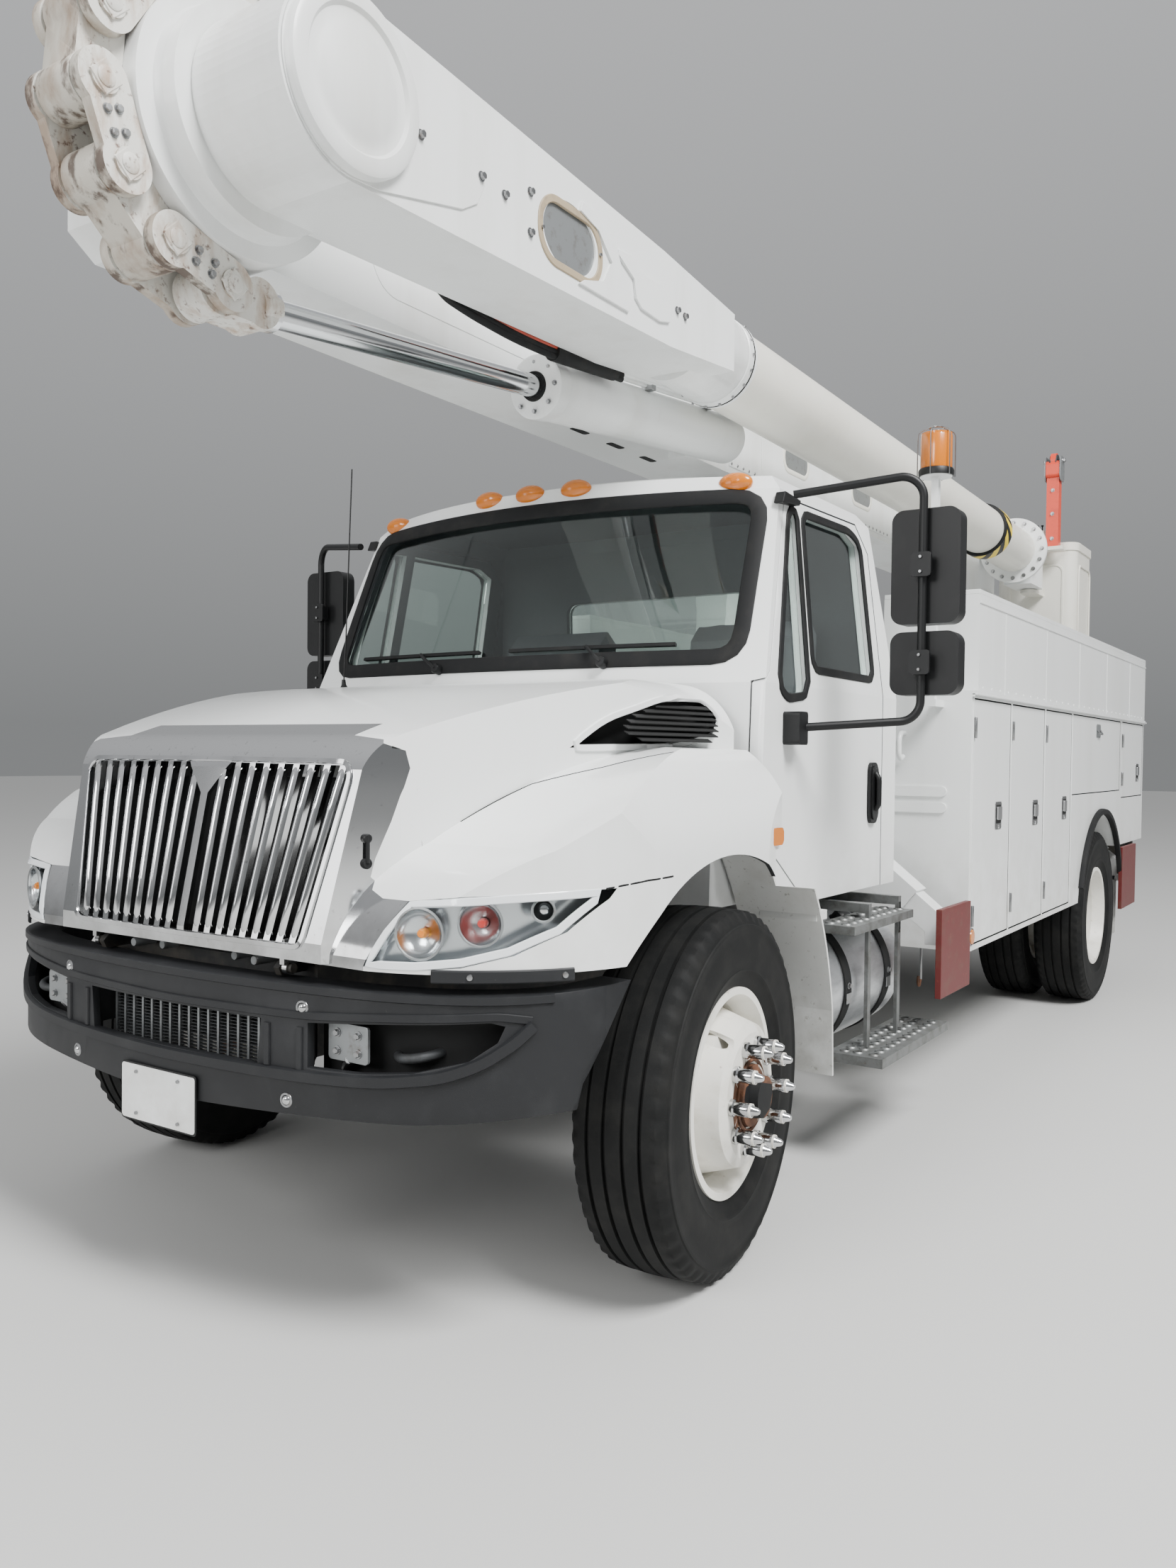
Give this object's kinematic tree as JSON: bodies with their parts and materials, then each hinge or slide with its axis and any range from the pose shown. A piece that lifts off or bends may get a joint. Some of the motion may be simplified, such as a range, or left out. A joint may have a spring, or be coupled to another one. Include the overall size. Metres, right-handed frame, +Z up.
{
  "type": "cherry picker truck",
  "caption": "Bucket truck with conventional cab, white utility body, outriggers and an articulated aerial boom folded over the cab, its elbow worked by a leaf chain and a cylinder.",
  "frame": {"origin": "on the ground, at the middle of the outline in plan", "axes": "+X forward, +Y to the driver's left, +Z up"},
  "size_m": [8.9338, 3.02, 3.8497],
  "materials": {
    "white_paint": "white truck enamel, lightly soiled",
    "black_chassis_paint": "black chassis paint",
    "dark_bumper_plastic": "grained dark grey moulding",
    "engine_grey": "cast and oily",
    "grey_vinyl": "dark grey vinyl",
    "chrome_trim": "bright plate",
    "aluminium_tank": "brushed tank",
    "black_rubber": "black rubber",
    "tyre_rubber": "worn tyre",
    "clear_glass": "clear safety glass",
    "amber_lens": "amber lens",
    "fibreglass_tube": "white gel coat",
    "wheel_white": "white wheel enamel with rust at the hub",
    "outrigger_paint": "red pad plate on a white leg",
    "rusty_chain_steel": "painted chain with rust streaks",
    "orange_jib": "orange enamel"
  },
  "bodies": {
    "truck": {"frame_rails": "black_chassis_paint", "bumper": "dark_bumper_plastic", "engine_block": "engine_grey", "front_axle": "black_chassis_paint", "rear_axle": "black_chassis_paint", "cab_shell": "white_paint", "cab_glass": "clear_glass", "cab_interior": "grey_vinyl", "fuel_tank": "aluminium_tank", "cab_steps": "black_chassis_paint", "splash_flaps": "black_rubber", "body_left": "white_paint", "body_right": "white_paint", "bay_floor": "white_paint", "outrigger_housings": "white_paint", "pedestal": "white_paint", "amber_lamps": "amber_lens"},
    "hood_assembly": {"hood": "white_paint", "grille": "chrome_trim", "headlights": "clear_glass"},
    "driver_door": {"door_left": "white_paint", "door_glass_left": "clear_glass", "mirror_left": "black_rubber"},
    "passenger_door": {"door_right": "white_paint", "door_glass_right": "clear_glass", "mirror_right": "black_rubber"},
    "left_knuckle": {"knuckle_left": "black_chassis_paint"},
    "right_knuckle": {"knuckle_right": "black_chassis_paint"},
    "left_front_wheel": {"front_tyre_left": "tyre_rubber", "front_wheel_left": "wheel_white"},
    "right_front_wheel": {"front_tyre_right": "tyre_rubber", "front_wheel_right": "wheel_white"},
    "left_rear_wheels": {"rear_tyres_left": "tyre_rubber", "rear_wheels_left": "wheel_white"},
    "right_rear_wheels": {"rear_tyres_right": "tyre_rubber", "rear_wheels_right": "wheel_white"},
    "turret": {"turntable": "white_paint"},
    "lift_cylinder_rod": {"lift_rod": "chrome_trim"},
    "lower_arm": {"lower_boom": "white_paint"},
    "elbow_cylinder_rod": {"elbow_rod": "chrome_trim"},
    "upper_arm": {"upper_boom": "white_paint", "boom_tube": "fibreglass_tube", "elbow_chain": "rusty_chain_steel"},
    "work_bucket": {"bucket": "white_paint"},
    "lifting_jib": {"jib": "orange_jib"},
    "tall_door_front_left_leaf": {"tall_door_front_left": "white_paint"},
    "tall_door_middle_left_leaf": {"tall_door_middle_left": "white_paint"},
    "tall_door_rear_left_leaf": {"tall_door_rear_left": "white_paint"},
    "tall_door_front_right_leaf": {"tall_door_front_right": "white_paint"},
    "tall_door_rear_right_leaf": {"tall_door_rear_right": "white_paint"},
    "rear_door_left_leaf": {"rear_door_left": "white_paint"},
    "rear_door_right_leaf": {"rear_door_right": "white_paint"},
    "hatch_left_leaf": {"hatch_left": "white_paint"},
    "hatch_right_leaf": {"hatch_right": "white_paint"},
    "box_lid_left_leaf": {"box_lid_left": "white_paint"},
    "box_lid_right_leaf": {"box_lid_right": "white_paint"},
    "front_left_outrigger": {"outrigger_front_left": "outrigger_paint"},
    "front_right_outrigger": {"outrigger_front_right": "outrigger_paint"},
    "rear_left_outrigger": {"outrigger_rear_left": "outrigger_paint"},
    "rear_right_outrigger": {"outrigger_rear_right": "outrigger_paint"}
  },
  "joints": [
    {"name": "steer_left", "type": "hinge", "parent": "truck", "child": "left_knuckle", "pos_m": [2.94, 0.93, 0.522], "axis": [0, 0, 1], "range_deg": [-35, 30]},
    {"name": "spin_front_left", "type": "hinge", "parent": "left_knuckle", "child": "left_front_wheel", "pos_m": [2.93154, 1.02964, 0.522], "axis": [-0.0845, 0.9964, 0], "continuous": true},
    {"name": "spin_rear_left", "type": "hinge", "parent": "truck", "child": "left_rear_wheels", "pos_m": [-1.924, 0.912, 0.522], "axis": [0, 1, 0], "continuous": true},
    {"name": "steer_right", "type": "hinge", "parent": "truck", "child": "right_knuckle", "pos_m": [2.94, -0.93, 0.522], "axis": [0, 0, 1], "range_deg": [-35, 30]},
    {"name": "spin_front_right", "type": "hinge", "parent": "right_knuckle", "child": "right_front_wheel", "pos_m": [2.94846, -1.02964, 0.522], "axis": [-0.0845, 0.9964, 0], "continuous": true},
    {"name": "spin_rear_right", "type": "hinge", "parent": "truck", "child": "right_rear_wheels", "pos_m": [-1.924, -0.912, 0.522], "axis": [0, 1, 0], "continuous": true},
    {"name": "hood_tilt", "type": "hinge", "parent": "truck", "child": "hood_assembly", "pos_m": [3.895, 0, 0.935], "axis": [0, 1, 0], "range_deg": [0, 65]},
    {"name": "driver_door_swing", "type": "hinge", "parent": "truck", "child": "driver_door", "pos_m": [2.519, 1.024, 1.6], "axis": [0, 0, -1], "range_deg": [0, 70]},
    {"name": "passenger_door_swing", "type": "hinge", "parent": "truck", "child": "passenger_door", "pos_m": [2.519, -1.024, 1.6], "axis": [0, 0, 1], "range_deg": [0, 70]},
    {"name": "tall_door_front_left_swing", "type": "hinge", "parent": "truck", "child": "tall_door_front_left_leaf", "pos_m": [0.838, 1.227, 1.212], "axis": [0, 0, -1], "range_deg": [0, 100]},
    {"name": "tall_door_middle_left_swing", "type": "hinge", "parent": "truck", "child": "tall_door_middle_left_leaf", "pos_m": [0.221, 1.227, 1.212], "axis": [0, 0, -1], "range_deg": [0, 100]},
    {"name": "tall_door_rear_left_swing", "type": "hinge", "parent": "truck", "child": "tall_door_rear_left_leaf", "pos_m": [-0.442, 1.227, 1.212], "axis": [0, 0, -1], "range_deg": [0, 100]},
    {"name": "tall_door_front_right_swing", "type": "hinge", "parent": "truck", "child": "tall_door_front_right_leaf", "pos_m": [0.838, -1.227, 1.212], "axis": [0, 0, 1], "range_deg": [0, 100]},
    {"name": "tall_door_rear_right_swing", "type": "hinge", "parent": "truck", "child": "tall_door_rear_right_leaf", "pos_m": [-0.132, -1.227, 1.212], "axis": [0, 0, 1], "range_deg": [0, 100]},
    {"name": "rear_door_left_swing", "type": "hinge", "parent": "truck", "child": "rear_door_left_leaf", "pos_m": [-2.586, 1.227, 1.487], "axis": [0, 0, -1], "range_deg": [0, 100]},
    {"name": "rear_door_right_swing", "type": "hinge", "parent": "truck", "child": "rear_door_right_leaf", "pos_m": [-2.586, -1.227, 1.487], "axis": [0, 0, 1], "range_deg": [0, 100]},
    {"name": "hatch_left_drop", "type": "hinge", "parent": "truck", "child": "hatch_left_leaf", "pos_m": [-1.792, 1.227, 1.291], "axis": [-1, 0, 0], "range_deg": [0, 90]},
    {"name": "hatch_right_drop", "type": "hinge", "parent": "truck", "child": "hatch_right_leaf", "pos_m": [-1.792, -1.227, 1.291], "axis": [1, 0, 0], "range_deg": [0, 90]},
    {"name": "box_lid_left_lift", "type": "hinge", "parent": "truck", "child": "box_lid_left_leaf", "pos_m": [-1.355, 0.79, 2.216], "axis": [1, 0, 0], "range_deg": [0, 80]},
    {"name": "box_lid_right_lift", "type": "hinge", "parent": "truck", "child": "box_lid_right_leaf", "pos_m": [-1.355, -0.79, 2.216], "axis": [-1, 0, 0], "range_deg": [0, 80]},
    {"name": "front_left_outrigger_slide", "type": "slide", "parent": "truck", "child": "front_left_outrigger", "axis": [0, 0.7837, -0.6211], "range_m": [0, 0.8]},
    {"name": "front_right_outrigger_slide", "type": "slide", "parent": "truck", "child": "front_right_outrigger", "axis": [0, -0.7837, -0.6211], "range_m": [0, 0.8]},
    {"name": "rear_left_outrigger_slide", "type": "slide", "parent": "truck", "child": "rear_left_outrigger", "axis": [0, 0.7837, -0.6211], "range_m": [0, 0.8]},
    {"name": "rear_right_outrigger_slide", "type": "slide", "parent": "truck", "child": "rear_right_outrigger", "axis": [0, -0.7837, -0.6211], "range_m": [0, 0.8]},
    {"name": "turntable_turn", "type": "hinge", "parent": "truck", "child": "turret", "pos_m": [-2.56, 0, 1.56], "axis": [0, 0, 1], "continuous": true},
    {"name": "lower_boom_raise", "type": "hinge", "parent": "turret", "child": "lower_arm", "pos_m": [-3.31, 0, 2.62], "axis": [0, -1, 0], "range_deg": [0, 85]},
    {"name": "lift_rod_slide", "type": "slide", "parent": "turret", "child": "lift_cylinder_rod", "axis": [-0.5446, 0, 0.8387], "range_m": [0, 0.7]},
    {"name": "elbow_unfold", "type": "hinge", "parent": "lower_arm", "child": "upper_arm", "pos_m": [4.03, 0, 2.965], "axis": [0, 1, 0], "range_deg": [0, 180]},
    {"name": "elbow_rod_slide", "type": "slide", "parent": "lower_arm", "child": "elbow_cylinder_rod", "axis": [-0.9954, 0, 0.0953], "range_m": [0, 1.135]},
    {"name": "bucket_turn", "type": "hinge", "parent": "upper_arm", "child": "work_bucket", "pos_m": [-3.64, 0.345, 2.95], "axis": [0, 0, 1], "range_deg": [-60, 60]},
    {"name": "jib_turn", "type": "hinge", "parent": "work_bucket", "child": "lifting_jib", "pos_m": [-3.75, 0.495, 3.13], "axis": [0, 0, 1], "range_deg": [-90, 90]}
  ],
  "couplings": [
    {"joint": "steer_right", "follows": "steer_left", "ratio": 1},
    {"joint": "lift_rod_slide", "follows": "lower_boom_raise", "m_per_rad": 0.4456},
    {"joint": "elbow_rod_slide", "follows": "elbow_unfold", "m_per_rad": 0.36}
  ]
}
